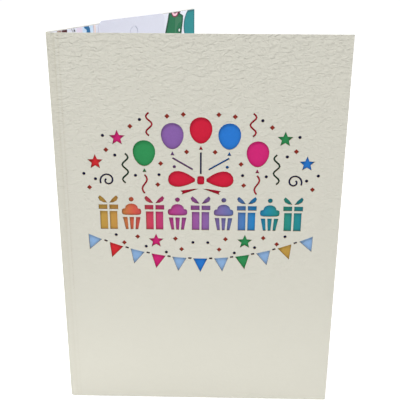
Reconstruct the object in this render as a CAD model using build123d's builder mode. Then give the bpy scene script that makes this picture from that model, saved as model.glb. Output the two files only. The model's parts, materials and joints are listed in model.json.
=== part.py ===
from build123d import *
import math
import os

# Pop up card that stands on its bottom edges with the spine upright, in millimetres.
# The front leaf faces -Y, Z is up, and the origin is the bottom centre of the card's box.
# On the front leaf's drawing x runs from the card's left edge, and y is the height.

# Card
LEAF_WIDTH = 127.0
LEAF_HEIGHT = 178.0
OPEN_ANGLE = 62.8
FOLD_RADIUS = 2.0
COVER_STOCK = 0.55
LINER_STOCK = 0.35
LINER_GAP = 0.25
LINER_MARGIN = 0.2
SCORE_PLACES = [3.6, 5.4]
SCORE_WIDTH = 0.6
SCORE_DEPTH = 0.07
PIECE_STOCK = 0.3

# Corners that stand for a round outline, from a balloon down to a dot, and how square a squared one is
ROUND_LARGE = 24
ROUND_MIDDLE = 16
ROUND_SMALL = 8
SQUARED = 0.5

# Windows of the front leaf: card left standing between them, and the design's shift from the leaf's middle
BRIDGE = 0.9
DESIGN_SHIFT = 1.0

# Row of treats, a gift box and a little cake in turn, as many as the leaf's width has room for
TREAT_MARGIN = 16.0
TREAT_PITCH = 10.35
TREAT_LEVEL = 90.8
GIFT_WIDTH = 8.8
GIFT_HEIGHT = 8.8
LID_OVERHANG = 0.5
LID_HEIGHT = 2.2
LOOP_LENGTH = 4.0
LOOP_RISE = 2.6
LOOP_POINTS = [(0, 0), (0.35, 0.75), (0.8, 1.35), (1.0, 0.95), (0.85, 0.4), (0.45, 0.05)]
CUP_BOTTOM = 5.6
CUP_TOP = 8.0
CUP_HEIGHT = 6.0
ICING_WIDTH = 8.8
ICING_HEIGHT = 3.4
CROWN_WIDTH = 5.8
CROWN_HEIGHT = 2.2
CHERRY_WIDTH = 2.3

# Wide ribbon bow over the treats
RIBBON_LEVEL = 114.6
RIBBON_SPAN = 29.0
RIBBON_SWELL = 4.3
RIBBON_SAG = 0.75
RIBBON_MOUTH = 150
TEARDROP_PEAK = 0.77
KNOT_WIDTH = 3.2
KNOT_HEIGHT = 4.0
TAIL_SPAN = 9.0
TAIL_DROP = 6.8
TAIL_WIDTH = 1.9

# Balloons over the bow, with their strings
BALLOON_MARGIN = 32.0
BALLOON_PITCH = 12.4
BALLOON_LEVEL = 137.2
BALLOON_FALL = 68.2
BALLOON_WIDTH = 9.8
BALLOON_HEIGHT = 11.8
BALLOON_TAPER = 0.12
NECK_SIZE = 1.8
STRING_WIDTH = 0.8
STRING_STOP = 0.72
STRING_HANG = 8.8
STRING_SWAY = 1.1
WAVE_STEPS = 4

# Garland of pennants under the treats, lowest in the middle and this much higher at the leaf's edges
GARLAND_MARGIN = 10.0
PENNANT_PITCH = 9.6
PENNANT_WIDTH = 6.6
PENNANT_DROP = 7.0
GARLAND_LEVEL = 76.6
GARLAND_RISE = 18.2
DASH_LENGTH = 1.5

# Small things strewn round the design on both sides of its centre line: those near the middle as distance
# from the centre line and height, those near the sides as distance from the leaf's edge and height
STAR_RADIUS = 3.6
STAR_WAIST = 0.45
STARS_NEAR_MIDDLE = [(20.2, 85.2)]
STARS_NEAR_EDGE = [(27.1, 133.6), (17.1, 122.6)]
CURLS_NEAR_EDGE = [(22.3, 114.2)]
CURL_PITCH = 2.2
CURL_TURNS = 1.6
CURL_START = 0.35
CURL_STEPS = 14
STREAMERS_NEAR_EDGE = [(30.3, 113.0), (41.1, 134.7)]
STREAMER_WAVES = [4, 3]
STREAMER_STEP = 3.4
STREAMER_SWING = 1.3
CONFETTI_SIZE = 1.15
CONFETTI_NEAR_MIDDLE = [
    (6.2, 127.6),
    (7.6, 144.2),
    (8.6, 81.2),
    (11.4, 86.4),
    (14.6, 143.4),
    (17.6, 122.2),
    (19.0, 112.4),
]
CONFETTI_NEAR_EDGE = [(34.9, 87.2), (32.9, 138.8), (28.7, 84.2), (22.1, 128.2), (14.1, 110.8)]
DOT_WIDTH = 1.5
DOTS_NEAR_MIDDLE = [(3.4, 84.6), (11.6, 120.8), (15.6, 79.6), (18.4, 117.0)]
DOTS_NEAR_EDGE = [
    (38.7, 82.4),
    (37.1, 141.8),
    (34.7, 116.6),
    (25.9, 125.8),
    (25.1, 88.0),
    (20.9, 134.6),
    (16.9, 114.8),
    (11.9, 117.2),
]

# Loose note card on the back leaf beside the bunting, its half-moon cut, and the band that holds it
NOTE_WIDTH = 57.6
NOTE_HEIGHT = 89.0
NOTE_STOCK = 0.4
NOTE_CORNER = 3.2
NOTE_GAP = 1.9
NOTE_RISE = 0.75
NOTE_TURN = 1.0
THUMB_RADIUS = 3.4
THUMB_DROP = 4.5
THUMB_SLIT = 0.5
THUMB_SPRING = 0.25
BAND_RISE = 7.25
BAND_HEIGHT = 11.0
BAND_GLUE = 4.0
BAND_RAMP = 1.2
BAND_CLEAR = 0.6

# Three tiers of the cake inside: folded strips glued to both leaves, from the largest to the smallest
TIER_NAMES = ["bottom", "middle", "top"]
TIER_REACH = [54.0, 28.5, 15.0]
TIER_TOP = [46.0, 82.0, 112.0]
TIER_FOOT = 5.0
TIER_TAB = 7.0
TIER_FOLD = 0.8
ICING_BAND = [10.0, 9.0, 7.5]
ICING_LIP = 1.2
ICING_SETBACK = 1.5
SCALLOP_WIDTH = [6.5, 5.8, 4.4]

# Candles and a star on a stem, glued inside the top tier
CANDLE_PLACES = [0.28, 0.72]
CANDLE_WIDTH = 3.0
CANDLE_RISE = 17.0
WICK_HEIGHT = 1.2
WICK_WIDTH = 0.8
FLAME_WIDTH = 2.8
FLAME_HEIGHT = 5.6
GLUE_DEPTH = 14.0
STEM_WIDTH = 1.6
TOPPER_RISE = 32.0
TOPPER_RADIUS = 6.5

# Balloons on stems, glued inside the middle tier, placed from the free corner or from the leaf
FLOAT_WIDTH = 15.0
FLOAT_HEIGHT = 18.0
FLOAT_NECK = 2.6
FLOAT_INSET = 8.5
FLOAT_LEVELS = [106.0, 127.0, 122.0, 104.0]

# Gift boxes glued to the bottom tier: name, panel, place along the panel, width and height
GIFT_BOXES = [
    ("wide_gift", "front", 15.0, 19.0, 13.0),
    ("tall_gift", "front", 37.0, 13.0, 20.0),
    ("small_gift", "back", 17.0, 14.0, 14.0),
]
GIFT_FOOT = 3.0
RIBBON_STRIP = 2.2
GIFT_BOW = 5.0
BOW_TILT = 28

# Bunting strung across the open card over the cake, this far down from the leaves' top edges
BUNTING_REACH = 33.5
BUNTING_DROP = 20.0
BUNTING_CORD = 3.0
FLAG_COUNT = 4
FLAG_WIDTH = 6.6
FLAG_DROP = 9.5

# Lay of the card, worked out from its sizes
ANGLE = math.radians(OPEN_ANGLE)
SETBACK = FOLD_RADIUS / math.tan(ANGLE / 2) - FOLD_RADIUS
LEAF_LENGTH = LEAF_WIDTH + SETBACK
WALL = COVER_STOCK + LINER_GAP + LINER_STOCK
ALONG_FRONT = Vector(1, 0, 0)
ALONG_BACK = Vector(math.cos(ANGLE), math.sin(ANGLE), 0)
INTO_FRONT = Vector(0, 1, 0)
INTO_BACK = Vector(math.sin(ANGLE), -math.cos(ANGLE), 0)
CORNER = Vector(-LEAF_WIDTH / 2 - SETBACK, -LEAF_LENGTH * math.sin(ANGLE) / 2, 0)
INNER_FOLD = CORNER + (ALONG_FRONT + ALONG_BACK) * (WALL / math.sin(ANGLE))
FRONT_FACE = Plane(origin=CORNER + ALONG_FRONT * SETBACK, x_dir=ALONG_FRONT, z_dir=-INTO_FRONT)
BACK_INSIDE = Plane(origin=INNER_FOLD, x_dir=ALONG_BACK, z_dir=INTO_BACK)
DESIGN_CENTRE = LEAF_WIDTH / 2 + DESIGN_SHIFT
TREAT_COUNT = int((LEAF_WIDTH - 2 * TREAT_MARGIN) / TREAT_PITCH)
BALLOON_COUNT = int((LEAF_WIDTH - 2 * BALLOON_MARGIN) / BALLOON_PITCH)
PENNANT_COUNT = int((LEAF_WIDTH - 2 * GARLAND_MARGIN) / PENNANT_PITCH)
NOTE_CENTRE = BUNTING_REACH + NOTE_GAP + NOTE_WIDTH / 2
NOTE_TOP = LEAF_HEIGHT + NOTE_RISE
BAND_LEVEL = NOTE_TOP - NOTE_HEIGHT + BAND_RISE
BUNTING_TOP = LEAF_HEIGHT - BUNTING_DROP


def corner_points(reach):
    """Where a strip stands on the front leaf, its free corner, and where it stands on the back leaf."""
    front = INNER_FOLD + ALONG_FRONT * reach
    back = INNER_FOLD + ALONG_BACK * reach
    return front, front + ALONG_BACK * reach, back


def front_panel(reach, depth=0.0):
    """Plane of a strip's panel that stands on the front leaf, x from that leaf to the free corner."""
    return Plane(origin=corner_points(reach)[0] - INTO_BACK * depth, x_dir=ALONG_BACK, z_dir=INTO_BACK)


def back_panel(reach, depth=0.0):
    """Plane of a strip's panel that stands on the back leaf, x from the free corner to that leaf."""
    return Plane(origin=corner_points(reach)[1] - INTO_FRONT * depth, x_dir=-ALONG_FRONT, z_dir=INTO_FRONT)


def folded_plan(points, radius, stock, side):
    """Plan of a sheet bent at its middle points, with its thickness on one side of them."""
    with BuildSketch() as plan:
        with BuildLine():
            FilletPolyline(*points, radius=radius)
            offset(amount=stock, side=side, kind=Kind.INTERSECTION)
        make_face()
    return plan.sketch


def leaf_plan(inset, stock, margin):
    """Plan of a sheet folded once at the spine, this far in from the card's outer faces."""
    length = LEAF_LENGTH - margin
    front_end = CORNER + ALONG_FRONT * length + INTO_FRONT * inset
    fold = CORNER + (ALONG_FRONT + ALONG_BACK) * (inset / math.sin(ANGLE))
    back_end = CORNER + ALONG_BACK * length + INTO_BACK * inset
    return folded_plan([front_end, fold, back_end], FOLD_RADIUS - inset, stock, Side.RIGHT)


def strip_plan(reach, tab):
    """Plan of a strip glued to both leaves by its two tabs."""
    front, free_corner, back = corner_points(reach)
    points = [front - ALONG_FRONT * tab, front, free_corner, back, back - ALONG_BACK * tab]
    return folded_plan(points, TIER_FOLD, PIECE_STOCK, Side.LEFT)


def star_points(radius):
    """Corners of a five-pointed star."""
    points = []
    for step in range(10):
        reach = radius if step % 2 == 0 else radius * STAR_WAIST
        spoke = math.radians(90 + 36 * step)
        points.append((reach * math.cos(spoke), reach * math.sin(spoke)))
    return points


def oval_points(width, height, corners, fullness=1.0):
    """Corners of an oval, which is the squarer the smaller its fullness."""
    points = []
    for step in range(corners):
        across = math.cos(2 * math.pi * step / corners)
        up = math.sin(2 * math.pi * step / corners)
        x = math.copysign(abs(across) ** fullness, across) * width / 2
        y = math.copysign(abs(up) ** fullness, up) * height / 2
        points.append((x, y))
    return points


def balloon_points(width, height):
    """Corners of a balloon, which is fuller over its middle than under it."""
    outline = oval_points(width, height, ROUND_LARGE)
    return [(x * (1 + BALLOON_TAPER * 2 * y / height), y) for x, y in outline]


def slot_points(line, width):
    """Corners of a slot of this width along a line of points."""
    left = []
    right = []
    for before, (x, y), after in zip(line[:1] + line[:-1], line, line[1:] + line[-1:]):
        run = after[0] - before[0]
        rise = after[1] - before[1]
        half = width / 2 / math.hypot(run, rise)
        left.append((x - rise * half, y + run * half))
        right.append((x + rise * half, y - run * half))
    return left + right[::-1]


def wavy_line(x, level, length, swing, waves):
    """Points of an upright wavy line of so many half waves, from this end of it."""
    line = []
    for step in range(waves * WAVE_STEPS + 1):
        sway = swing * math.sin(math.pi * step / WAVE_STEPS)
        line.append((x + sway, level + length * step / (waves * WAVE_STEPS)))
    return line


def curl_line(x, level, side):
    """Points of the spiral of a curled ribbon."""
    line = []
    for step in range(round(CURL_START * CURL_STEPS), round(CURL_TURNS * CURL_STEPS) + 1):
        reach = CURL_PITCH * step / CURL_STEPS
        turn = 2 * math.pi * step / CURL_STEPS
        line.append((x - side * reach * math.cos(turn), level + reach * math.sin(turn)))
    return line


def gift_window(x):
    """Gift box: two panes and two lid strips with the ribbon left standing, and a bow of two loops."""
    lid_level = TREAT_LEVEL + GIFT_HEIGHT + BRIDGE
    bow_level = lid_level + LID_HEIGHT + BRIDGE
    for side, edge in ((-1, Align.MAX), (1, Align.MIN)):
        inner = x + side * BRIDGE / 2
        half = (GIFT_WIDTH - BRIDGE) / 2
        with Locations((inner, TREAT_LEVEL)):
            Rectangle(half - LID_OVERHANG, GIFT_HEIGHT, align=(edge, Align.MIN))
        with Locations((inner, lid_level)):
            Rectangle(half, LID_HEIGHT, align=(edge, Align.MIN))
        with Locations((inner, bow_level)):
            Polygon(*[(side * LOOP_LENGTH * out, LOOP_RISE * up) for out, up in LOOP_POINTS], align=None)


def cake_window(x):
    """Little cake: a cup of three pleats, a round of icing and a cherry."""
    low = (CUP_BOTTOM - 2 * BRIDGE) / 3
    high = (CUP_TOP - 2 * BRIDGE) / 3
    icing_level = TREAT_LEVEL + CUP_HEIGHT + BRIDGE
    crown_level = icing_level + ICING_HEIGHT
    for pleat in (-1, 0, 1):
        bottom = x + pleat * (low + BRIDGE)
        top = x + pleat * (high + BRIDGE)
        Polygon(
            (bottom - low / 2, TREAT_LEVEL),
            (bottom + low / 2, TREAT_LEVEL),
            (top + high / 2, TREAT_LEVEL + CUP_HEIGHT),
            (top - high / 2, TREAT_LEVEL + CUP_HEIGHT),
            align=None,
        )
    with Locations((x, icing_level + ICING_HEIGHT / 2)):
        Polygon(*oval_points(ICING_WIDTH, ICING_HEIGHT, ROUND_MIDDLE, SQUARED), align=None)
    with Locations((x, crown_level)):
        Polygon(*oval_points(CROWN_WIDTH, 2 * CROWN_HEIGHT, ROUND_MIDDLE), align=None)
    with Locations((x, crown_level + CROWN_HEIGHT + BRIDGE + CHERRY_WIDTH / 2)):
        Polygon(*oval_points(CHERRY_WIDTH, CHERRY_WIDTH, ROUND_SMALL), align=None)


def ribbon_window():
    """Wide bow: a knot, two flared loops and two notched tails."""
    with Locations((DESIGN_CENTRE, RIBBON_LEVEL)):
        Polygon(*oval_points(KNOT_WIDTH, KNOT_HEIGHT, ROUND_MIDDLE, SQUARED), align=None)
    mouth = math.cos(math.radians(RIBBON_MOUTH))
    for side in (-1, 1):
        inner = DESIGN_CENTRE + side * (KNOT_WIDTH / 2 + BRIDGE)
        length = (RIBBON_SPAN - KNOT_WIDTH) / 2 - BRIDGE
        loop = []
        for step in range(ROUND_MIDDLE + 1):
            turn = math.radians(RIBBON_MOUTH * (2 * step / ROUND_MIDDLE - 1))
            swell = RIBBON_SWELL * math.sin(turn) * math.cos(turn / 2) / TEARDROP_PEAK
            along = (math.cos(turn) - mouth) / (1 - mouth)
            loop.append((inner + side * length * along, RIBBON_LEVEL + swell * (1 if turn > 0 else RIBBON_SAG)))
        Polygon(*loop, align=None)
        start = DESIGN_CENTRE + side * BRIDGE
        end = DESIGN_CENTRE + side * TAIL_SPAN
        upper = RIBBON_LEVEL - KNOT_HEIGHT / 2 - BRIDGE - RIBBON_SWELL / 4
        lower = RIBBON_LEVEL - TAIL_DROP
        Polygon(
            (start, upper),
            (start + side * TAIL_WIDTH, upper),
            (end, lower + TAIL_WIDTH),
            (end - side * TAIL_WIDTH / 2, lower + TAIL_WIDTH / 2),
            (end - side * TAIL_WIDTH / 4, lower),
            align=None,
        )


def balloon_window(step):
    """Balloon, its neck and its string, so many places from the centre line."""
    x = DESIGN_CENTRE + step * BALLOON_PITCH
    level = BALLOON_LEVEL - BALLOON_FALL * (step * BALLOON_PITCH / (LEAF_WIDTH / 2)) ** 2
    neck_level = level - BALLOON_HEIGHT / 2 - BRIDGE
    with Locations((x, level)):
        Polygon(*balloon_points(BALLOON_WIDTH, BALLOON_HEIGHT), align=None)
    with Locations((x, neck_level)):
        Polygon((0, 0), (NECK_SIZE / 2, -NECK_SIZE), (-NECK_SIZE / 2, -NECK_SIZE), align=None)
    string_level = neck_level - NECK_SIZE - BRIDGE - STRING_WIDTH / 3
    gather_level = RIBBON_LEVEL + KNOT_HEIGHT / 2 + BRIDGE
    if abs(step) < 2:
        stop = STRING_STOP + (1 - STRING_STOP) * (1 - abs(step))
        end = (x + (DESIGN_CENTRE - x) * stop, string_level + (gather_level - string_level) * stop)
        string = [(x, string_level), end]
    else:
        string = wavy_line(x, string_level, -STRING_HANG, STRING_SWAY, 2)
    Polygon(*slot_points(string, STRING_WIDTH), align=None)


def garland_point(x):
    """Height and slope in degrees of the garland's string at this distance from the centre line."""
    half_width = LEAF_WIDTH / 2
    slope = 2 * GARLAND_RISE * x / half_width**2
    return GARLAND_LEVEL + GARLAND_RISE * (x / half_width) ** 2, math.degrees(math.atan(slope))


def garland_window():
    """Pennants on a sagging string, with a dash of string between each two."""
    for step in range(2 * PENNANT_COUNT - 1):
        x = (step / 2 - (PENNANT_COUNT - 1) / 2) * PENNANT_PITCH
        level, slope = garland_point(x)
        with Locations(Location((DESIGN_CENTRE + x, level), slope)):
            if step % 2 == 0:
                Polygon((-PENNANT_WIDTH / 2, 0), (0, -PENNANT_DROP), (PENNANT_WIDTH / 2, 0), align=None)
            else:
                Rectangle(DASH_LENGTH, STRING_WIDTH)


def strewn_places(near_middle, near_edge):
    """Side, x and height of things strewn alike on both sides of the centre line."""
    reaches = near_middle + [(LEAF_WIDTH / 2 - inset, level) for inset, level in near_edge]
    return [(side, DESIGN_CENTRE + side * reach, level) for side in (-1, 1) for reach, level in reaches]


def strewn_windows():
    """Stars, confetti, dots, curls and streamers."""
    for side, x, level in strewn_places(STARS_NEAR_MIDDLE, STARS_NEAR_EDGE):
        with Locations((x, level)):
            Polygon(*star_points(STAR_RADIUS), align=None)
    for side, x, level in strewn_places(CONFETTI_NEAR_MIDDLE, CONFETTI_NEAR_EDGE):
        with Locations((x, level)):
            Polygon(*oval_points(2 * CONFETTI_SIZE, 2 * CONFETTI_SIZE, 4), align=None)
    for side, x, level in strewn_places(DOTS_NEAR_MIDDLE, DOTS_NEAR_EDGE):
        with Locations((x, level)):
            Polygon(*oval_points(DOT_WIDTH, DOT_WIDTH, ROUND_SMALL), align=None)
    for side, x, level in strewn_places([], CURLS_NEAR_EDGE):
        Polygon(*slot_points(curl_line(x, level, side), STRING_WIDTH), align=None)
    for waves, place in zip(STREAMER_WAVES, STREAMERS_NEAR_EDGE):
        for side, x, level in strewn_places([], [place]):
            streamer = wavy_line(x, level, waves * STREAMER_STEP, side * STREAMER_SWING, waves)
            Polygon(*slot_points(streamer, STRING_WIDTH), align=None)


# Cover: one folded card, with two score lines beside the spine and windows cut in its front leaf
with BuildPart() as cover:
    extrude(leaf_plan(0, COVER_STOCK, 0), amount=LEAF_HEIGHT)
    with BuildSketch() as scores:
        for place in SCORE_PLACES:
            for along, turn in ((ALONG_FRONT, 0), (ALONG_BACK, OPEN_ANGLE)):
                with Locations(Location(CORNER + along * (SETBACK + place), turn)):
                    Rectangle(SCORE_WIDTH, 2 * SCORE_DEPTH)
    extrude(amount=LEAF_HEIGHT, mode=Mode.SUBTRACT)
    with BuildSketch(FRONT_FACE) as windows:
        for treat in range(TREAT_COUNT):
            place = DESIGN_CENTRE + (treat - (TREAT_COUNT - 1) / 2) * TREAT_PITCH
            if treat % 2 == 0:
                gift_window(place)
            else:
                cake_window(place)
        ribbon_window()
        for balloon in range(BALLOON_COUNT):
            balloon_window(balloon - (BALLOON_COUNT - 1) / 2)
        garland_window()
        strewn_windows()
    extrude(amount=-COVER_STOCK, mode=Mode.SUBTRACT)
cover.part.label = "cover"
export_step(cover.part, "parts/cover.step")

# Liner: one thinner printed sheet folded inside the cover, a little short of its edges
with BuildPart() as liner:
    with Locations((0, 0, LINER_MARGIN)):
        add(extrude(leaf_plan(COVER_STOCK + LINER_GAP, LINER_STOCK, LINER_MARGIN),
                    amount=LEAF_HEIGHT - 2 * LINER_MARGIN, mode=Mode.PRIVATE))
liner.part.label = "liner"
export_step(liner.part, "parts/liner.step")

# Note card: loose, a little turned, with rounded corners and a half-moon cut near its top, whose flap has
# sprung to one side so that the cut is wider at the other
NOTE_PLANE = Plane(BACK_INSIDE.location * Location((NOTE_CENTRE, NOTE_TOP, 0), -NOTE_TURN))
with BuildPart() as note_card:
    with BuildSketch(NOTE_PLANE):
        RectangleRounded(NOTE_WIDTH, NOTE_HEIGHT, NOTE_CORNER, align=(Align.CENTER, Align.MAX))
    extrude(amount=NOTE_STOCK)
    with BuildSketch(NOTE_PLANE):
        with Locations((0, -THUMB_DROP - THUMB_RADIUS)):
            Circle(THUMB_RADIUS + THUMB_SLIT / 2)
        with Locations((-THUMB_SPRING, -THUMB_DROP - THUMB_RADIUS)):
            Circle(THUMB_RADIUS - THUMB_SLIT / 2, mode=Mode.SUBTRACT)
        with Locations((0, -THUMB_DROP - THUMB_RADIUS)):
            Rectangle(3 * THUMB_RADIUS, 2 * THUMB_RADIUS, align=(Align.CENTER, Align.MAX), mode=Mode.SUBTRACT)
    extrude(amount=NOTE_STOCK, mode=Mode.SUBTRACT)
note_card.part.label = "note_card"
export_step(note_card.part, "parts/note_card.step")

# Note band: glued to the liner at both ends, over the lower part of the note card
LEAN = (NOTE_TOP - BAND_LEVEL) * math.sin(math.radians(NOTE_TURN))
BAND_LEFT = NOTE_CENTRE - NOTE_WIDTH / 2 - LEAN - BAND_CLEAR
BAND_RIGHT = NOTE_CENTRE + NOTE_WIDTH / 2 + BAND_CLEAR
BAND_STEPS = [
    (BAND_LEFT - BAND_RAMP - BAND_GLUE, 0),
    (BAND_LEFT - BAND_RAMP, 0),
    (BAND_LEFT, NOTE_STOCK),
    (BAND_RIGHT, NOTE_STOCK),
    (BAND_RIGHT + BAND_RAMP, 0),
    (BAND_RIGHT + BAND_RAMP + BAND_GLUE, 0),
]
with BuildPart() as note_band:
    with BuildSketch(Plane.XY.offset(BAND_LEVEL)):
        with BuildLine():
            Polyline(*[INNER_FOLD + ALONG_BACK * along + INTO_BACK * rise for along, rise in BAND_STEPS])
            offset(amount=PIECE_STOCK, side=Side.RIGHT, kind=Kind.INTERSECTION)
        make_face()
    extrude(amount=BAND_HEIGHT)
note_band.part.label = "note_band"
export_step(note_band.part, "parts/note_band.step")

# Tiers: folded strips that stand as open boxes, each with a scalloped strip of icing round its top
for name, reach, top, band, scallop in zip(TIER_NAMES, TIER_REACH, TIER_TOP, ICING_BAND, SCALLOP_WIDTH):
    with BuildPart() as tier:
        with Locations((0, 0, TIER_FOOT)):
            add(extrude(strip_plan(reach, TIER_TAB), amount=top - TIER_FOOT, mode=Mode.PRIVATE))
    tier.part.label = name + "_tier"
    export_step(tier.part, "parts/" + name + "_tier.step")

    front, free_corner, back = corner_points(reach)
    icing_points = [front + ALONG_BACK * ICING_SETBACK, free_corner, back + ALONG_FRONT * ICING_SETBACK]
    scallops = round((reach - ICING_SETBACK) / scallop)
    pitch = (reach - ICING_SETBACK) / scallops
    with BuildPart() as icing:
        with Locations((0, 0, top - band)):
            add(extrude(folded_plan(icing_points, TIER_FOLD, PIECE_STOCK, Side.RIGHT),
                        amount=band + ICING_LIP, mode=Mode.PRIVATE))
        for panel, start in ((front_panel(reach), ICING_SETBACK), (back_panel(reach), 0)):
            with BuildSketch(panel):
                with Locations((start, top - band)):
                    Rectangle(reach - ICING_SETBACK, pitch / 2, align=(Align.MIN, Align.MIN))
                for drop in range(scallops):
                    with Locations((start + pitch * (drop + 0.5), top - band + pitch / 2)):
                        RegularPolygon(pitch / 2, ROUND_MIDDLE, mode=Mode.SUBTRACT)
            extrude(amount=2 * PIECE_STOCK, both=True, mode=Mode.SUBTRACT)
    icing.part.label = name + "_icing"
    export_step(icing.part, "parts/" + name + "_icing.step")

# Candles: flat strips with a wick and a flame, glued inside the panels of the top tier
TOP_REACH = TIER_REACH[-1]
GLUE_LEVEL = TIER_TOP[-1] - GLUE_DEPTH
CANDLE_PANELS = [front_panel(TOP_REACH, PIECE_STOCK), back_panel(TOP_REACH, PIECE_STOCK)]
CANDLE_SPOTS = [(panel, share) for panel in CANDLE_PANELS for share in CANDLE_PLACES]
for number, (panel, share) in enumerate(CANDLE_SPOTS, start=1):
    candle_top = TIER_TOP[-1] + CANDLE_RISE
    with BuildPart() as candle:
        with BuildSketch(panel):
            with Locations((TOP_REACH * share, GLUE_LEVEL)):
                Rectangle(CANDLE_WIDTH, candle_top - GLUE_LEVEL, align=(Align.CENTER, Align.MIN))
            with Locations((TOP_REACH * share, candle_top)):
                Rectangle(WICK_WIDTH, 2 * WICK_HEIGHT, align=(Align.CENTER, Align.MIN))
            with Locations((TOP_REACH * share, candle_top + WICK_HEIGHT + FLAME_HEIGHT / 3)):
                Polygon(*oval_points(FLAME_WIDTH, FLAME_HEIGHT * 2 / 3, ROUND_MIDDLE), align=None)
            with Locations((TOP_REACH * share, candle_top + WICK_HEIGHT + FLAME_HEIGHT * 0.45)):
                Triangle(a=FLAME_WIDTH * 0.9, b=FLAME_HEIGHT * 0.62, c=FLAME_HEIGHT * 0.62,
                         align=(Align.CENTER, Align.MIN))
        extrude(amount=-PIECE_STOCK)
    candle.part.label = "candle_" + str(number)
    export_step(candle.part, "parts/candle_" + str(number) + ".step")

# Topper: a star on a stem, glued between the two candles at the back
with BuildPart() as star_topper:
    with BuildSketch(back_panel(TOP_REACH, PIECE_STOCK)):
        with Locations((TOP_REACH / 2, GLUE_LEVEL)):
            Rectangle(STEM_WIDTH, GLUE_DEPTH + TOPPER_RISE, align=(Align.CENTER, Align.MIN))
        with Locations((TOP_REACH / 2, TIER_TOP[-1] + TOPPER_RISE)):
            Polygon(*star_points(TOPPER_RADIUS), align=None)
    extrude(amount=-PIECE_STOCK)
star_topper.part.label = "star_topper"
export_step(star_topper.part, "parts/star_topper.step")

# Balloons on stems, glued inside the panels of the middle tier
MIDDLE_REACH = TIER_REACH[1]
FLOAT_PANELS = [front_panel(MIDDLE_REACH, PIECE_STOCK), back_panel(MIDDLE_REACH, PIECE_STOCK)]
FLOAT_SPOTS = [(panel, x) for panel in FLOAT_PANELS for x in (FLOAT_INSET, MIDDLE_REACH - FLOAT_INSET)]
for number, ((panel, x), level) in enumerate(zip(FLOAT_SPOTS, FLOAT_LEVELS), start=1):
    stem_foot = TIER_TOP[1] - GLUE_DEPTH
    with BuildPart() as float_piece:
        with BuildSketch(panel):
            with Locations((x, level)):
                Polygon(*balloon_points(FLOAT_WIDTH, FLOAT_HEIGHT), align=None)
            with Locations((x, level - FLOAT_HEIGHT / 2 + FLOAT_NECK / 4)):
                Triangle(a=FLOAT_NECK, b=FLOAT_NECK, c=FLOAT_NECK, align=(Align.CENTER, Align.MAX))
            with Locations((x, stem_foot)):
                Rectangle(STEM_WIDTH, level - stem_foot, align=(Align.CENTER, Align.MIN))
        extrude(amount=-PIECE_STOCK)
    float_piece.part.label = "balloon_" + str(number)
    export_step(float_piece.part, "parts/balloon_" + str(number) + ".step")

# Gift boxes glued to the bottom tier, each with its ribbon and bow glued on as one more piece
for name, side, x, width, height in GIFT_BOXES:
    panel_at = front_panel if side == "front" else back_panel
    with BuildPart() as gift_box:
        with BuildSketch(panel_at(TIER_REACH[0])):
            with Locations((x, GIFT_FOOT)):
                Rectangle(width, height, align=(Align.CENTER, Align.MIN))
        extrude(amount=PIECE_STOCK)
    gift_box.part.label = name
    export_step(gift_box.part, "parts/" + name + ".step")

    gift_top = GIFT_FOOT + height
    with BuildPart() as gift_ribbon:
        with BuildSketch(panel_at(TIER_REACH[0], -PIECE_STOCK)):
            with Locations((x, GIFT_FOOT)):
                Rectangle(RIBBON_STRIP, height + GIFT_BOW / 4, align=(Align.CENTER, Align.MIN))
            with Locations((x, GIFT_FOOT + height * 2 / 3)):
                Rectangle(width, RIBBON_STRIP)
            for turn in (-1, 1):
                with Locations(Location((x + turn * GIFT_BOW / 2, gift_top + GIFT_BOW / 3), turn * BOW_TILT)):
                    Polygon(*oval_points(GIFT_BOW * 1.2, GIFT_BOW * 2 / 3, ROUND_MIDDLE), align=None)
        extrude(amount=PIECE_STOCK)
    gift_ribbon.part.label = name + "_ribbon"
    export_step(gift_ribbon.part, "parts/" + name + "_ribbon.step")

# Bunting: a folded cord strip glued to both leaves, with flags hanging from it
with BuildPart() as bunting:
    with Locations((0, 0, BUNTING_TOP - BUNTING_CORD)):
        add(extrude(strip_plan(BUNTING_REACH, TIER_TAB), amount=BUNTING_CORD, mode=Mode.PRIVATE))
    for panel in (front_panel(BUNTING_REACH), back_panel(BUNTING_REACH)):
        with BuildSketch(panel):
            for flag in range(FLAG_COUNT):
                with Locations((BUNTING_REACH * (flag + 0.5) / FLAG_COUNT, BUNTING_TOP - BUNTING_CORD)):
                    Polygon((-FLAG_WIDTH / 2, BUNTING_CORD / 2), (-FLAG_WIDTH / 2, 0), (0, -FLAG_DROP),
                            (FLAG_WIDTH / 2, 0), (FLAG_WIDTH / 2, BUNTING_CORD / 2), align=None)
        extrude(amount=-PIECE_STOCK)
bunting.part.label = "bunting"
export_step(bunting.part, "parts/bunting.step")
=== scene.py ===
import json
import math

import bpy
from mathutils import Matrix, Vector

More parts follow.
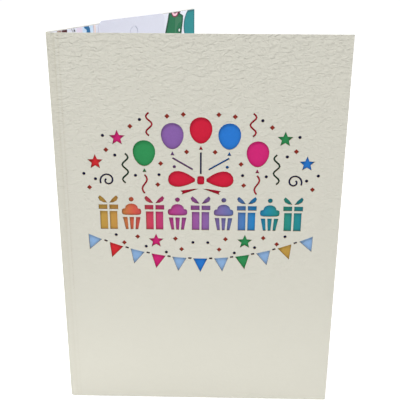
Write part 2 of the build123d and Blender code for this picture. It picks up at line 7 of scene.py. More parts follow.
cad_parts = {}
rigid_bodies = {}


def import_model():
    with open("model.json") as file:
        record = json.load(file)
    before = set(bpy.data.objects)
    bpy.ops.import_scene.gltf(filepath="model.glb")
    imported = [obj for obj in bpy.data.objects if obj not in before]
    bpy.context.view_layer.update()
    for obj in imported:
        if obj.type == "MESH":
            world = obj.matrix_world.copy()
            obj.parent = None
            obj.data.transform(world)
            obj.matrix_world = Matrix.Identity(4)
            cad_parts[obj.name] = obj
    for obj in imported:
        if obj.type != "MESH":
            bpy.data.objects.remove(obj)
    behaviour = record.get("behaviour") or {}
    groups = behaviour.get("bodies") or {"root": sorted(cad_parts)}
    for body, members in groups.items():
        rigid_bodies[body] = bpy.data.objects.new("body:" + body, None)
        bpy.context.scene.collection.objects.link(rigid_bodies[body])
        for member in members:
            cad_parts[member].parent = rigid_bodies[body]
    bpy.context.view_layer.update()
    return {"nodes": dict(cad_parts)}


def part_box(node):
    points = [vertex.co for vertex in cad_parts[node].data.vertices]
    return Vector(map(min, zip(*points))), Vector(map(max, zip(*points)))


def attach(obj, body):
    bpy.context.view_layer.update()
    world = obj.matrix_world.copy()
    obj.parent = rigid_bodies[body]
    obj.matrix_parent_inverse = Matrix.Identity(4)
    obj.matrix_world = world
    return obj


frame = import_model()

bl_info = {
    "name": "Pop up card",
    "version": (1, 0, 0),
    "blender": (4, 5, 0),
    "location": "3D View > Sidebar > Pop up card",
    "description": "Papers, printing and stage of a pop up card that stands open",
    "category": "Object",
}

# The frame's own sizes, in metres: the cover's box, its front face and left edge, and a leaf's width and
# height
MM = 0.001
COVER_LOW, COVER_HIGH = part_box("cover")
FRONT_FACE = COVER_LOW.y
LEFT_EDGE = COVER_LOW.x
LEAF_WIDTH = COVER_HIGH.x - COVER_LOW.x
LEAF_HEIGHT = COVER_HIGH.z - COVER_LOW.z

# The card's lay: its opening, its fold, the sheets from its outer face to the liner's inner face, and how far
# the liner's edges lie inside the cover's
OPENING = math.radians(62.8)
FOLD_SLOPE = math.tan(OPENING / 2)
FOLD_RADIUS = 2.0 * MM
COVER_STOCK = 0.55 * MM
LINER_GAP = 0.25 * MM
LINER_STOCK = 0.35 * MM
LINER_MARGIN = 0.2 * MM
WALL = COVER_STOCK + LINER_GAP + LINER_STOCK

# Directions away from the fold along each leaf and from the back leaf into the card, the fold lines of the
# card's outer and inner faces, and a leaf's length from the outer one
ALONG_FRONT = Vector((1, 0, 0))
ALONG_BACK = Vector((math.cos(OPENING), math.sin(OPENING), 0))
INTO_BACK = Vector((math.sin(OPENING), -math.cos(OPENING), 0))
OUTER_FOLD = Vector((LEFT_EDGE - FOLD_RADIUS / FOLD_SLOPE + FOLD_RADIUS, FRONT_FACE, 0))
INNER_FOLD = OUTER_FOLD + (ALONG_FRONT + ALONG_BACK) * (WALL / math.sin(OPENING))
LEAF_LENGTH = LEAF_WIDTH + LEFT_EDGE - OUTER_FOLD.x

# Matrix that lays a flat piece on the back leaf's inner face, x from the inner fold and y up
BACK_LEAF = Matrix((*zip(ALONG_BACK, (0, 0, 1), INTO_BACK, INNER_FOLD), (0, 0, 0, 1)))

# Where the front leaf's windows lie, in millimetres: their heights, how far they reach from x = 0, and how
# deep they lie behind the front face. A window's wall faces sideways or up and down, so that its normal's y
# is under SIDEWAYS.
WINDOW_ZONE = (60.0, 150.0)
WINDOW_REACH = LEAF_WIDTH / MM / 2 - 5.0
WINDOW_DEPTH = 1.0
SIDEWAYS = 0.5

# The windows' design, in millimetres: its centre line, the heights and reaches of its rows, the pitches of
# its repeats, and the sizes that tell one kind of window from another
DESIGN_CENTRE = 1.0
TREAT_ROW = (90.0, 108.0)
TREAT_REACH = 46.0
BOW_ROW = (107.4, 119.0)
BOW_REACH = 15.0
BALLOON_PITCH = 12.4
BALLOON_WIDTH = 9.0
KNOT_WIDTHS = (1.6, 2.1)
KNOT_REACH = 1.5
STAR_WIDTH = 6.8
OUTER_STARS = 40.0
PENNANT_PITCH = 9.6
PENNANT_WIDTH = 6.0
STREAMER_SIZE = (1.5, 9.0)
OUTER_STREAMERS = 30.0
DIAMOND_WIDTHS = (2.1, 2.5)

# Inks of the balloons and of the pennants, from left to right
BALLOON_INKS = ("green", "violet", "red", "blue", "magenta")
PENNANT_INKS = ("sky", "crimson", "sky", "magenta", "sky", "blue", "sky", "green", "sky", "gold", "sky")

# Inks of the treat row, each at its share of the way from the first gift to the last
ROW_BLEND = (
    (0.0, "C49E4A"),
    (0.09, "C8954A"),
    (0.17, "D8604A"),
    (0.26, "CE3E5E"),
    (0.34, "BA3C84"),
    (0.43, "A64C9A"),
    (0.52, "9064A8"),
    (0.6, "7C6FAC"),
    (0.68, "5A7CBA"),
    (0.76, "2384C6"),
    (0.83, "228CA4"),
    (0.9, "2C917C"),
    (1.0, "208C9C"),
)

# Thickness of one layer of ink, drawn thicker than real so that it stays clear of the paper
INK_LAYER = 0.02 * MM

# Painted shade of the strip beside the fold, darkest in its two scoring grooves: how much of the shade colour
# shows at each distance from the fold, in millimetres
PAINTED_SCORE_SHADE = ((0.0, 0.4), (3.1, 0.45), (3.6, 1.0), (4.1, 0.0), (4.8, 0.0), (5.3, 0.65), (5.8, 0.0))

# Share of the painted shade beside the fold that is left in the leaf's lowest quarter, and its square of the
# felt marks
FOOT_SHARE = 0.3

# Strip at the liner's top that has no confetti, in millimetres
PLAIN_STRIP = 14.0

# Paper reflects as cellulose does, with less shine, because its surface is open
PAPER_IOR = 1.46
PAPER_SPECULAR = 0.3

# Grain of the papers. Fibres are too fine to show, so it is their clumps' length, height and depth, in
# millimetres, and how much they change the colour. An ink's own mottle is given with it.
WRITING_GRAIN = (1.2, 1.2, 0.012, 0.012)
COATED_GRAIN = (1.2, 1.2, 0.01, 0.01)
DYED_GRAIN = (1.6, 1.6, 0.02, 0.02)
PRINTED_GRAIN = (1.6, 1.6, 0.015, 0.015)
INK_GRAIN = (0.9, 0.9, 0.006)

# A balloon's glint and stem, as shares of the balloon's height: how far the glint lies left of the middle and
# below the top, its half width and half height, and how far below the top the stem starts
GLINT_LEFT = 0.18
GLINT_DROP = 0.3
GLINT_HALVES = (0.07, 0.13)
STEM_START = 1.12

# How steeply the stripes run round a candle
CANDLE_SLANT = 0.8

# Setting and sockets of a Mix node that lays one colour over another
COLOURS = {"data_type": "RGBA"}
SHARE, UNDER, OVER, MIXED = 0, 6, 7, 2


def linear(code):
    """Linear colour of an sRGB hex value."""
    shares = [int(code[place:place + 2], 16) / 255 for place in (0, 2, 4)]
    return tuple(
        share / 12.92 if share <= 0.04045 else ((share + 0.055) / 1.055) ** 2.4 for share in shares)


def colour_property(name, description, code):
    """Colour that a user can change, from its sRGB hex value."""
    return bpy.props.FloatVectorProperty(
        name=name, description=description, subtype="COLOR", size=3, min=0, max=1, default=linear(code))


def length_property(name, description, millimetres):
    """Length that a user can change, from its size in millimetres."""
    return bpy.props.FloatProperty(
        name=name, description=description, unit="LENGTH", min=0, precision=5, default=millimetres * MM)


def power_property(name, description, watts):
    """Power of a lamp that a user can change."""
    return bpy.props.FloatProperty(
        name=name, description=description, unit="POWER", min=0, precision=3, default=watts)


class CardPapers(bpy.types.PropertyGroup):
    """Colours and surface sizes of the papers"""

    cover: colour_property("Cover", "Ivory felt-marked card", "D6D4C8")
    # Colour of the shade painted on the strip beside the fold, darkest in its two scoring grooves
    score: colour_property("Score", "Crushed card beside the fold", "CFCCBD")
    burn: colour_property("Cut edge", "Edge that the laser has browned", "8E7350")
    liner: colour_property("Liner", "Smooth white paper of the printed liner", "E4E6F0")
    note: colour_property("Note card", "Smooth paper of the note card", "DCDEEA")
    band: colour_property("Note band", "Paper band over the note card", "E6E6EC")
    bottom_tier: colour_property("Bottom tier", "Rose dyed card", "CD5474")
    middle_tier: colour_property("Middle tier", "Blue dyed card", "84AACE")
    top_tier: colour_property("Top tier", "Gold dyed card", "CEA862")
    icing: colour_property("Icing", "White card of the scalloped strips", "EEE9DC")
    star: colour_property("Star", "Gold card of the star on its stem", "D6AA50")
    stem: colour_property("Stems", "Cream card of the balloons' stems", "EDE6D2")
    cord: colour_property("Cord", "White card of the bunting's cord strip", "EFEBE2")
    mark_length: length_property("Felt mark length", "How long a felt mark is", 2.4)
    mark_height: length_property("Felt mark height", "How tall a felt mark is", 1.5)
    mark_depth: length_property("Felt mark depth", "Shaded relief, deeper than real so that it shows", 0.85)


class CardInks(bpy.types.PropertyGroup):
    """Printing inks"""

    red: colour_property("Red", "Bow, middle balloon and streamers", "CE1638")
    crimson: colour_property("Crimson", "Left star and a pennant", "D4272F")
    green: colour_property("Green", "Balloon, star and pennant", "2C8E52")
    magenta: colour_property("Magenta", "Balloon, star and pennant", "D02074")
    violet: colour_property("Violet", "Balloon", "8860A8")
    blue: colour_property("Blue", "Balloon, star and pennant", "2478D2")
    sky: colour_property("Sky blue", "Every other pennant", "8FB4E0")
    gold: colour_property("Gold", "Pennant", "C49C48")
    forest: colour_property("Dark green", "Outer streamers", "14422E")
    navy: colour_property("Navy", "Strings and curls", "1E1E50")
    brick: colour_property("Brick", "Diamonds", "C4463A")
    teal: colour_property("Teal", "Large printed balloon", "2C8A8E")
    spread: length_property("Spread", "How far the ink reaches past its window", 0.3)


class CardPrints(bpy.types.PropertyGroup):
    """Colours and sizes of the printing on the pieces inside"""

    rose_spots: colour_property("Rose card's spots", "Spots of the bottom tier", "F1D9DC")
    blue_stripes: colour_property("Blue card's stripes", "Stripes of the middle tier", "C9DBEA")
    gold_spots: colour_property("Gold card's spots", "Spots of the top tier", "F0DDAE")
    violet_spots: colour_property("Violet card's spots", "Spots of the wide gift", "C9BEDD")
    green_stripes: colour_property("Green card's stripes", "Stripes of the tall gift", "A9D3B6")
    teal_spots: colour_property("Teal card's spots", "Spots of the small gift", "BCE0E2")
    ribbon_stripes: colour_property("Ribbons' stripes", "Fine stripes of the gifts' ribbons", "F2EFEA")
    candle_stripes: colour_property("Candles' stripes", "Pale stripes of the candles", "F2EEF2")
    flame_orange: colour_property("Flame's orange", "Colour of a flame's foot", "E8622A")
    flame_yellow: colour_property("Flame's yellow", "Colour of a flame's tip", "F6CF4C")
    glitter: colour_property("Glitter", "Pale flecks on the star", "F3DC98")
    glint: colour_property("Glint", "Pale glint on a balloon", "F6EEF0")
    flame_height: length_property("Flame height", "Height of a candle's flame", 5.6)
    balloon_height: length_property("Balloon height", "Height of a balloon on its stem", 18.0)
    cord_height: length_property("Cord height", "Height of the bunting's cord strip", 3.0)
    bunting_reach: length_property("Bunting reach", "How far from the fold the bunting is glued", 33.5)


class CardStage(bpy.types.PropertyGroup):
    """Light and floor"""

    key_power: power_property("Key light", "Large soft light in front, above", 8.1)
    low_power: power_property("Low light", "Soft light near the floor in front", 0.015)
    side_power: power_property("Side light", "Soft light that shines into the open card", 4.5)
    back_power: power_property("Back light", "Soft light on the back leaf's outer face", 5.0)
    board: colour_property("Board", "The floor as the light on the card meets it", "E7E7E7")
    seen_board: colour_property("Seen board", "The floor as the camera sees it", "D5D5D5")
    seen_glow: bpy.props.FloatProperty(
        name="Glow", description="The seen floor's own light", min=0, default=0.7)
    sky_strength: bpy.props.FloatProperty(
        name="Sky", description="Even light from all round", min=0, default=0.475)
    floor_width: length_property("Floor", "Width of the floor", 6000.0)


# Pieces


def clear_selection():
    """Leaves object mode with nothing selected."""
    if bpy.context.mode != "OBJECT":
        bpy.ops.object.mode_set(mode="OBJECT")
    bpy.ops.object.select_all(action="DESELECT")


def select_only(*pieces):
    """Selects these objects and makes the first of them active."""
    clear_selection()
    for piece in pieces:
        piece.select_set(True)
    bpy.context.view_layer.objects.active = pieces[0]


def edit(piece, kind="FACE"):
    """Opens a piece in edit mode with all of it selected."""
    select_only(piece)
    bpy.ops.object.mode_set(mode="EDIT")
    bpy.ops.mesh.select_mode(type=kind)
    bpy.ops.mesh.select_all(action="SELECT")


def pick(piece, kind, wanted):
    """In edit mode, selects only the faces or vertices for which wanted is true."""
    bpy.ops.mesh.select_mode(type=kind)
    bpy.ops.mesh.select_all(action="DESELECT")
    bpy.ops.object.mode_set(mode="OBJECT")
    parts = piece.data.polygons if kind == "FACE" else piece.data.vertices
    for part in parts:
        part.select = wanted(part)
    bpy.ops.object.mode_set(mode="EDIT")


def thicken(piece, thickness):
    """Gives a flat piece its thickness towards its face, and turns all its faces outwards."""
    select_only(piece)
    bpy.ops.object.modifier_add(type="SOLIDIFY")
    modifier = piece.modifiers[-1]
    modifier.thickness = thickness
    modifier.offset = 1.0
    bpy.ops.object.modifier_apply(modifier=modifier.name)
    edit(piece)
    bpy.ops.mesh.normals_make_consistent(inside=False)
    clear_selection()


def finish_piece(piece, name, material):
    """Names a piece of the printing, gives it its ink, and lets it ride on the card."""
    piece.name = name
    piece.data.name = name
    piece.data.materials.clear()
    piece.data.materials.append(material)
    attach(piece, "root")


def ink_behind(x, z, width, height):
    """Ink behind a window, from its place off the centre line, its height and its size, in millimetres."""
    balloon = round(x / BALLOON_PITCH)
    below_balloon = z > TREAT_ROW[1] and abs(x - balloon * BALLOON_PITCH) < KNOT_REACH
    is_knot = below_balloon and KNOT_WIDTHS[0] < width < KNOT_WIDTHS[1]
    if TREAT_ROW[0] < z < TREAT_ROW[1]:
        return "row"
    if BOW_ROW[0] < z < BOW_ROW[1] and abs(x) < BOW_REACH:
        return "red"
    if (width > BALLOON_WIDTH or is_knot) and abs(balloon) <= len(BALLOON_INKS) // 2:
        return BALLOON_INKS[balloon + len(BALLOON_INKS) // 2]
    if width > STAR_WIDTH:
        inks = ("crimson", "blue") if abs(x) > OUTER_STARS else ("magenta", "green")
        return inks[x > 0]
    if width > PENNANT_WIDTH and z < TREAT_ROW[0]:
        return PENNANT_INKS[round(x / PENNANT_PITCH) + len(PENNANT_INKS) // 2]
    if width > STREAMER_SIZE[0] and height > STREAMER_SIZE[1]:
        return "forest" if abs(x) > OUTER_STREAMERS else "red"
    return "brick" if DIAMOND_WIDTHS[0] < width < DIAMOND_WIDTHS[1] else "navy"


# Materials


def add_node(tree, kind, settings=None, inputs=None):
    """Adds a node with these settings, and gives each of its inputs a value or another node's socket."""
    node = tree.nodes.new("ShaderNode" + kind)
    for name, value in (settings or {}).items():
        setattr(node, name, value)
    for name, source in (inputs or {}).items():
        socket = node.inputs[name]
        if isinstance(source, bpy.types.NodeSocket):
            tree.links.new(source, socket)
        else:
            socket.default_value = (*source, 1) if socket.type == "RGBA" else source
    return node


def set_stops(ramp, stops, blend="LINEAR"):
    """Gives a colour ramp its stops, each a place from 0 to 1 and a colour."""
    ramp.interpolation = blend
    while len(ramp.elements) < len(stops):
        ramp.elements.new(1.0)
    for element, (place, colour) in zip(ramp.elements, stops):
        element.position = place
        element.color = (*colour, 1)


def place_in_mm(tree):
    """Place in millimetres as x, y and z sockets."""
    place = add_node(tree, "TexCoord").outputs["Object"]
    scaled = add_node(tree, "VectorMath", {"operation": "SCALE"}, {0: place, "Scale": 1 / MM})
    return add_node(tree, "SeparateXYZ", inputs={0: scaled.outputs[0]}).outputs


def place_on_sheet(tree):
    """Place in millimetres along any folded sheet of the card, and up it.

    Each panel runs along the front leaf or along the back leaf, and x + y * tan(opening / 2) grows by
    the same amount along both.
    """
    x, y, z = place_in_mm(tree)
    across = add_node(tree, "Math", {"operation": "MULTIPLY_ADD"}, {0: y, 1: FOLD_SLOPE, 2: x})
    return across.outputs[0], z


def spots(tree, pitch, share, disorder, turn=45.0):
    """Round spots at this pitch in millimetres: one where a point lies in a spot, and the spots' cells.

    Share is a spot's radius as a share of the pitch, disorder scatters the spots, and turn turns their rows,
    in degrees.
    """
    across, up = place_on_sheet(tree)
    place = add_node(tree, "CombineXYZ", inputs={0: across, 1: up})
    turned = add_node(tree, "Mapping", inputs={
        "Vector": place.outputs[0], "Rotation": (0, 0, math.radians(turn))})
    cells = add_node(tree, "TexVoronoi", {"voronoi_dimensions": "2D"}, {
        "Vector": turned.outputs[0], "Scale": 1 / pitch, "Randomness": disorder})
    inside = add_node(tree, "Math", {"operation": "LESS_THAN"}, {0: cells.outputs["Distance"], 1: share})
    return inside.outputs[0], cells


def stripes(tree, across, pitch, share):
    """One where a point lies in a stripe, at this pitch in millimetres and this share of it wide."""
    place = add_node(tree, "Math", {"operation": "FLOORED_MODULO"}, {0: across, 1: pitch})
    inside = add_node(tree, "Math", {"operation": "LESS_THAN"}, {0: place.outputs[0], 1: pitch * share})
    return inside.outputs[0]


def new_paper(name, roughness):
    """Empty paper: its material, node tree and shader."""
    material = bpy.data.materials.new(name)
    material.use_nodes = True
    tree = material.node_tree
    shader = tree.nodes["Principled BSDF"]
    shader.inputs["Roughness"].default_value = roughness
    shader.inputs["IOR"].default_value = PAPER_IOR
    shader.inputs["Specular IOR Level"].default_value = PAPER_SPECULAR
    return material, tree, shader


def fibre(tree, shader, colour, length, height, depth, mottle, pressed=1.0, bend=0.4, detail=3.0, slant=0.0):
    """Paper's surface: marks of this length, height and depth in millimetres, and a faint mottle with them.

    Pressed says how much of the relief is left, all over or at each point. Bend makes the marks wavy, detail
    breaks them up, and slant turns them, in degrees.
    """
    place = add_node(tree, "TexCoord").outputs["Object"]
    stretched = add_node(tree, "Mapping", {"vector_type": "TEXTURE"}, {
        "Vector": place, "Rotation": (0, math.radians(slant), 0),
        "Scale": (length * MM, length * MM, height * MM)})
    marks = add_node(tree, "TexNoise", inputs={
        "Vector": stretched.outputs[0], "Scale": 1.0, "Detail": detail, "Roughness": 0.55,
        "Distortion": bend})
    relief = add_node(tree, "Bump", inputs={
        "Height": marks.outputs["Fac"], "Strength": pressed, "Distance": depth * MM})
    tree.links.new(relief.outputs[0], shader.inputs["Normal"])
    tone = add_node(tree, "MapRange", inputs={
        "Value": marks.outputs["Fac"], "From Min": 0.3, "From Max": 0.7,
        "To Min": 1 - mottle, "To Max": 1 + mottle})
    toned = add_node(tree, "HueSaturation", inputs={"Color": colour, "Value": tone.outputs[0]})
    tree.links.new(toned.outputs[0], shader.inputs["Base Color"])


def felt_marked_card(name):
    """Ivory card of cotton and wood pulp, pressed between felts while wet.

    The felts leave long low ripples, matt and soft, and deepest near the top. Shade is painted on the strip
    beside the fold, darkest in its two scoring grooves and fading towards the foot. A laser cut the windows
    and browned their edges.
    """
    papers = bpy.context.scene.card_papers
    material, tree, shader = new_paper(name, roughness=0.85)
    x, y, z = place_in_mm(tree)
    rise = add_node(tree, "MapRange", inputs={
        "Value": z, "From Min": LEAF_HEIGHT / MM / 4, "From Max": LEAF_HEIGHT / MM,
        "To Min": FOOT_SHARE, "To Max": 1.0})

    # Shade painted on the strip beside the fold, darkest in its scoring grooves and fading towards the foot
    fold = (LEFT_EDGE + FRONT_FACE * FOLD_SLOPE) / MM
    strip = PAINTED_SCORE_SHADE[-1][0]
    off_fold = add_node(tree, "MapRange", inputs={
        "Value": place_on_sheet(tree)[0], "From Min": fold, "From Max": fold + strip})
    shade = add_node(tree, "ValToRGB", inputs={0: off_fold.outputs[0]})
    set_stops(shade.color_ramp, [(place / strip, (share,) * 3) for place, share in PAINTED_SCORE_SHADE])
    score_shade_share = add_node(tree, "Math", {"operation": "MULTIPLY"}, {0: shade.outputs[0], 1: rise.outputs[0]})
    with_score_shade = add_node(tree, "Mix", COLOURS, {
        SHARE: score_shade_share.outputs[0], UNDER: papers.cover, OVER: papers.score})

    # A burnt wall faces sideways or up and down, in the front leaf, away from the leaf's own edges
    facing = add_node(tree, "SeparateXYZ", inputs={0: add_node(tree, "TexCoord").outputs["Normal"]})
    low, high = WINDOW_ZONE
    burnt = 1.0
    for operation, value, middle, reach in (
            ("COMPARE", facing.outputs[1], 0.0, SIDEWAYS),
            ("LESS_THAN", y, FRONT_FACE / MM + WINDOW_DEPTH, 0.0),
            ("COMPARE", x, 0.0, WINDOW_REACH),
            ("COMPARE", z, (low + high) / 2, (high - low) / 2)):
        test = add_node(tree, "Math", {"operation": operation}, {0: value, 1: middle, 2: reach})
        burnt = add_node(tree, "Math", {"operation": "MULTIPLY"}, {0: burnt, 1: test.outputs[0]}).outputs[0]
    colour = add_node(tree, "Mix", COLOURS, {SHARE: burnt, UNDER: with_score_shade.outputs[MIXED], OVER: papers.burn})

    pressed = add_node(tree, "Math", {"operation": "POWER"}, {0: rise.outputs[0], 1: 2.0})
    fibre(tree, shader, colour.outputs[MIXED],
          papers.mark_length / MM, papers.mark_height / MM, papers.mark_depth / MM,
          mottle=0.004, pressed=pressed.outputs[0], bend=0.8, detail=1.0, slant=-4.0)
    return material


def smooth_paper(name, colour):
    """Uncoated writing paper, calendered between rollers: even and matt, with a barely seen cloudiness."""
    material, tree, shader = new_paper(name, roughness=0.7)
    fibre(tree, shader, colour, *WRITING_GRAIN)
    return material


def confetti_paper(name, colour, inks):
    """Coated printing paper: whiter and a little glossier, printed with confetti below its plain strip."""
    material, tree, shader = new_paper(name, roughness=0.55)
    dotted, cells = spots(tree, pitch=9.0, share=0.17, disorder=1.0, turn=0.0)
    middle = add_node(tree, "SeparateXYZ", inputs={0: cells.outputs["Position"]})
    low = add_node(tree, "Math", {"operation": "LESS_THAN"}, {
        0: middle.outputs[1], 1: LEAF_HEIGHT / MM - PLAIN_STRIP})
    shown = add_node(tree, "Math", {"operation": "MULTIPLY"}, {0: dotted, 1: low.outputs[0]})
    choice = add_node(tree, "SeparateColor", inputs={0: cells.outputs["Color"]})
    dots = add_node(tree, "ValToRGB", inputs={0: choice.outputs[0]})
    set_stops(dots.color_ramp, [(number / len(inks), ink) for number, ink in enumerate(inks)], "CONSTANT")
    printed = add_node(tree, "Mix", COLOURS, {SHARE: shown.outputs[0], UNDER: colour, OVER: dots.outputs[0]})
    fibre(tree, shader, printed.outputs[MIXED], *COATED_GRAIN)
    return material


def spotted_card(name, colour, spot, pitch, share, disorder=0.0):
    """Card dyed in the pulp, so its colour is even and matt, with spots printed on it."""
    material, tree, shader = new_paper(name, roughness=0.75)
    spotted, _ = spots(tree, pitch, share, disorder)
    printed = add_node(tree, "Mix", COLOURS, {SHARE: spotted, UNDER: colour, OVER: spot})
    fibre(tree, shader, printed.outputs[MIXED], *DYED_GRAIN)
    return material


def striped_card(name, colour, stripe, pitch, share, slant=0.0):
    """Card dyed in the pulp, with stripes printed on it, upright or on a slant."""
    material, tree, shader = new_paper(name, roughness=0.75)
    across, up = place_on_sheet(tree)
    slanted = add_node(tree, "Math", {"operation": "MULTIPLY_ADD"}, {0: up, 1: slant, 2: across})
    striped = stripes(tree, slanted.outputs[0], pitch, share)
    printed = add_node(tree, "Mix", COLOURS, {SHARE: striped, UNDER: colour, OVER: stripe})
    fibre(tree, shader, printed.outputs[MIXED], *DYED_GRAIN)
    return material


def candle_card(name, body, prints, flame_foot, flame_top):
    """White card printed all over: slanted stripes up to the wick, and a flame from orange to yellow."""
    material, tree, shader = new_paper(name, roughness=0.7)
    across, up = place_on_sheet(tree)
    slanted = add_node(tree, "Math", {"operation": "MULTIPLY_ADD"}, {0: across, 1: CANDLE_SLANT, 2: up})
    striped = stripes(tree, slanted.outputs[0], pitch=4.0, share=0.5)
    wax = add_node(tree, "Mix", COLOURS, {SHARE: striped, UNDER: body, OVER: prints.candle_stripes})
    glow = add_node(tree, "MapRange", inputs={"Value": up, "From Min": flame_foot, "From Max": flame_top})
    flame = add_node(tree, "Mix", COLOURS, {
        SHARE: glow.outputs[0], UNDER: prints.flame_orange, OVER: prints.flame_yellow})
    lit = add_node(tree, "Math", {"operation": "GREATER_THAN"}, {0: up, 1: flame_foot})
    printed = add_node(tree, "Mix", COLOURS, {
        SHARE: lit.outputs[0], UNDER: wax.outputs[MIXED], OVER: flame.outputs[MIXED]})
    fibre(tree, shader, printed.outputs[MIXED], *PRINTED_GRAIN)
    return material


def balloon_card(name, colour, stem, gloss, low, high, body_height):
    """Card printed with a smooth glossy ink: a pale glint at the balloon's upper left, and a cream stem."""
    material, tree, shader = new_paper(name, roughness=0.45)
    middle = (low + high) / 2 / MM
    top = high.z / MM
    across, up = place_on_sheet(tree)
    place = add_node(tree, "CombineXYZ", inputs={0: across, 1: up})
    off_glint = add_node(tree, "Mapping", {"vector_type": "TEXTURE"}, {
        "Vector": place.outputs[0],
        "Location": (middle.x + middle.y * FOLD_SLOPE - body_height * GLINT_LEFT,
                     top - body_height * GLINT_DROP, 0),
        "Scale": (body_height * GLINT_HALVES[0], body_height * GLINT_HALVES[1], 1)})
    distance = add_node(tree, "VectorMath", {"operation": "LENGTH"}, {0: off_glint.outputs[0]})
    glint = add_node(tree, "Math", {"operation": "LESS_THAN"}, {0: distance.outputs["Value"], 1: 1.0})
    skin = add_node(tree, "Mix", COLOURS, {SHARE: glint.outputs[0], UNDER: colour, OVER: gloss})
    on_stem = add_node(tree, "Math", {"operation": "LESS_THAN"}, {0: up, 1: top - body_height * STEM_START})
    printed = add_node(tree, "Mix", COLOURS, {
        SHARE: on_stem.outputs[0], UNDER: skin.outputs[MIXED], OVER: stem})
    fibre(tree, shader, printed.outputs[MIXED], *PRINTED_GRAIN)
    return material


def bunting_card(name, cord, flags, pitch, free_corner, cord_foot):
    """White card: a plain cord strip, and below it flags printed in turn."""
    material, tree, shader = new_paper(name, roughness=0.7)
    across, up = place_on_sheet(tree)
    from_corner = add_node(tree, "Math", {"operation": "SUBTRACT"}, {0: free_corner, 1: across})
    turns = add_node(tree, "Math", {"operation": "DIVIDE"}, {
        0: from_corner.outputs[0], 1: pitch * len(flags)})
    turn = add_node(tree, "Math", {"operation": "FRACT"}, {0: turns.outputs[0]})
    row = add_node(tree, "ValToRGB", inputs={0: turn.outputs[0]})
    set_stops(row.color_ramp, [(number / len(flags), flag) for number, flag in enumerate(flags)], "CONSTANT")
    on_cord = add_node(tree, "Math", {"operation": "GREATER_THAN"}, {0: up, 1: cord_foot})
    printed = add_node(tree, "Mix", COLOURS, {SHARE: on_cord.outputs[0], UNDER: row.outputs[0], OVER: cord})
    fibre(tree, shader, printed.outputs[MIXED], *PRINTED_GRAIN)
    return material


def printed_ink(name, colour):
    """Offset ink on paper: flat and matt, with the paper's fine mottle showing through."""
    material, tree, shader = new_paper(name, roughness=0.8)
    fibre(tree, shader, colour, *INK_GRAIN, mottle=0.04)
    return material


def blended_ink(name, stops, left, right):
    """The same ink, printed in a blend of colours from left to right, between these places in millimetres."""
    material, tree, shader = new_paper(name, roughness=0.8)
    x = place_in_mm(tree)[0]
    share = add_node(tree, "MapRange", inputs={"Value": x, "From Min": left, "From Max": right})
    blend = add_node(tree, "ValToRGB", inputs={0: share.outputs[0]})
    set_stops(blend.color_ramp, [(place, linear(code)) for place, code in stops])
    fibre(tree, shader, blend.outputs[0], *INK_GRAIN, mottle=0.03)
    return material


def dress(material, *names):
    """Gives CAD nodes their material."""
    for name in names:
        for slot in frame["nodes"][name].material_slots:
            slot.material = material


# Operators: the card's sheets


class CARD_OT_cover_card(bpy.types.Operator):
    """Give the cover its felt-marked card with browned cuts"""

    bl_idname = "card.cover_card"
    bl_label = "Cover card"

    def execute(self, context):
        dress(felt_marked_card("felt_marked_ivory_card"), "cover")
        return {"FINISHED"}


class CARD_OT_liner_paper(bpy.types.Operator):
    """Give the liner its coated paper, printed with confetti"""

    bl_idname = "card.liner_paper"
    bl_label = "Liner paper"

    def execute(self, context):
        inks = context.scene.card_inks
        confetti = (inks.sky, inks.red, inks.gold, inks.magenta, inks.teal, inks.violet)
        dress(confetti_paper("coated_confetti_paper", context.scene.card_papers.liner, confetti), "liner")
        return {"FINISHED"}


class CARD_OT_note_papers(bpy.types.Operator):
    """Give the note card and its band their smooth papers"""

    bl_idname = "card.note_papers"
    bl_label = "Note papers"

    def execute(self, context):
        papers = context.scene.card_papers
        dress(smooth_paper("smooth_note_paper", papers.note), "note_card")
        dress(smooth_paper("smooth_band_paper", papers.band), "note_band")
        return {"FINISHED"}


class CARD_OT_cake_cards(bpy.types.Operator):
    """Give the cake's three tiers and their icing strips their dyed and printed cards"""

    bl_idname = "card.cake_cards"
    bl_label = "Cake cards"

    def execute(self, context):
        papers = context.scene.card_papers
        prints = context.scene.card_prints
        dress(spotted_card("spotted_rose_card", papers.bottom_tier, prints.rose_spots,
                           pitch=7.0, share=0.2), "bottom_tier")
        dress(striped_card("striped_blue_card", papers.middle_tier, prints.blue_stripes,
                           pitch=5.0, share=0.45), "middle_tier")
        dress(spotted_card("spotted_gold_card", papers.top_tier, prints.gold_spots,
                           pitch=4.5, share=0.2), "top_tier")
        icing = spotted_card("sprinkled_white_card", papers.icing, context.scene.card_inks.magenta,
                             pitch=4.0, share=0.11, disorder=1.0)
        dress(icing, "bottom_icing", "middle_icing", "top_icing")
        return {"FINISHED"}


class CARD_OT_candle_cards(bpy.types.Operator):
    """Give the candles their stripes and flames, and the star on its stem its gold card"""

    bl_idname = "card.candle_cards"
    bl_label = "Candle cards"

    def execute(self, context):
        inks = context.scene.card_inks
        prints = context.scene.card_prints
        flame_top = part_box("candle_1")[1].z / MM
        flame_foot = flame_top - prints.flame_height / MM
        for number, body in enumerate((inks.violet, inks.teal, inks.magenta, inks.blue), start=1):
            name = "candle_" + str(number)
            dress(candle_card(name + "_card", body, prints, flame_foot, flame_top), name)
        star = spotted_card("glittered_gold_card", context.scene.card_papers.star, prints.glitter,
                            pitch=1.6, share=0.2, disorder=1.0)
        dress(star, "star_topper")
        return {"FINISHED"}


class CARD_OT_balloon_cards(bpy.types.Operator):
    """Give the balloons on stems their glossy card and glint"""

    bl_idname = "card.balloon_cards"
    bl_label = "Balloon cards"

    def execute(self, context):
        inks = context.scene.card_inks
        prints = context.scene.card_prints
        stem = context.scene.card_papers.stem
        for number, ink in enumerate((inks.red, inks.teal, inks.green, inks.magenta), start=1):
            name = "balloon_" + str(number)
            low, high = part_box(name)
            dress(balloon_card(name + "_card", ink, stem, prints.glint, low, high,
                               prints.balloon_height / MM), name)
        return {"FINISHED"}


